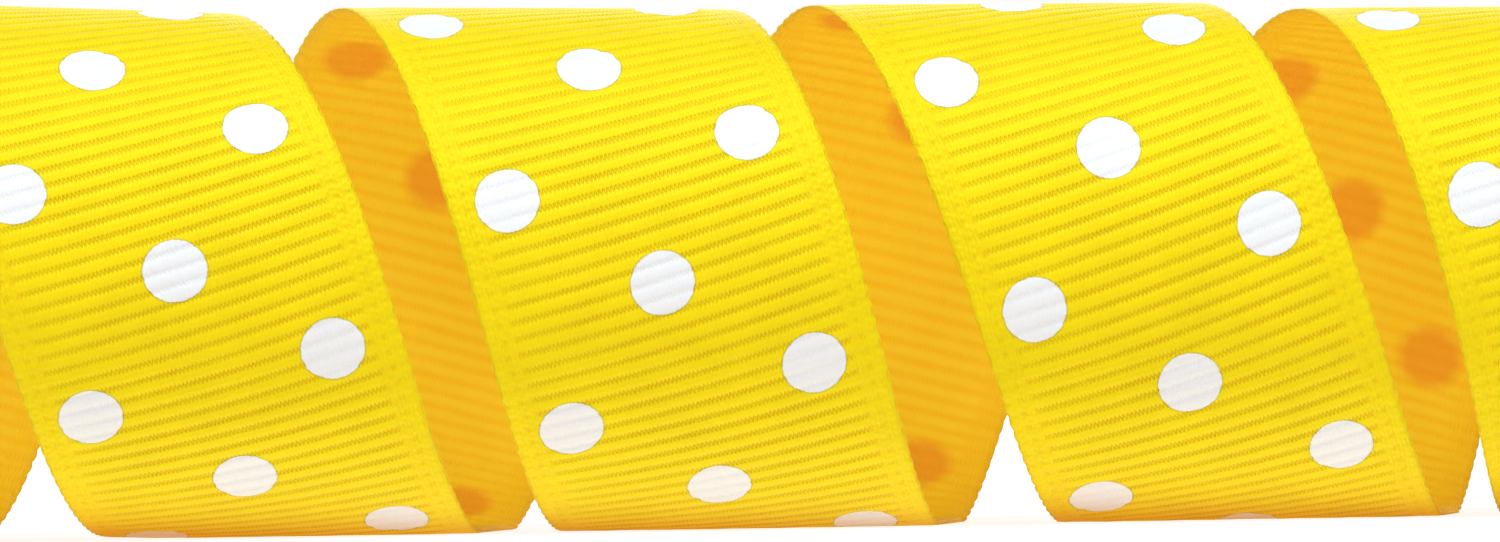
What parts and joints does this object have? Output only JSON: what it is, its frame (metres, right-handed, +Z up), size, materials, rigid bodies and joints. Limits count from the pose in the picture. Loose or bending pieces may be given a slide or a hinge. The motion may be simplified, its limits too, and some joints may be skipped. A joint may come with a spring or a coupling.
{
  "type": "coiled grosgrain ribbon",
  "caption": "Cut length of yellow grosgrain ribbon with white printed dots, curled into an open coil that lies on its side, for bows, trimming and gift wrap.",
  "frame": {"origin": "on the surface that the coil lies on, under the middle of its length", "axes": "+X along the coil's axis, -Y towards the side that the picture shows, +Z up from the surface"},
  "size_m": [0.216, 0.0361, 0.0362],
  "materials": {
    "grosgrain": "ribbed weave, soft sheen, white printed dots on the outer face"
  },
  "bodies": {
    "root": {"ribbon": "grosgrain"}
  },
  "joints": []
}
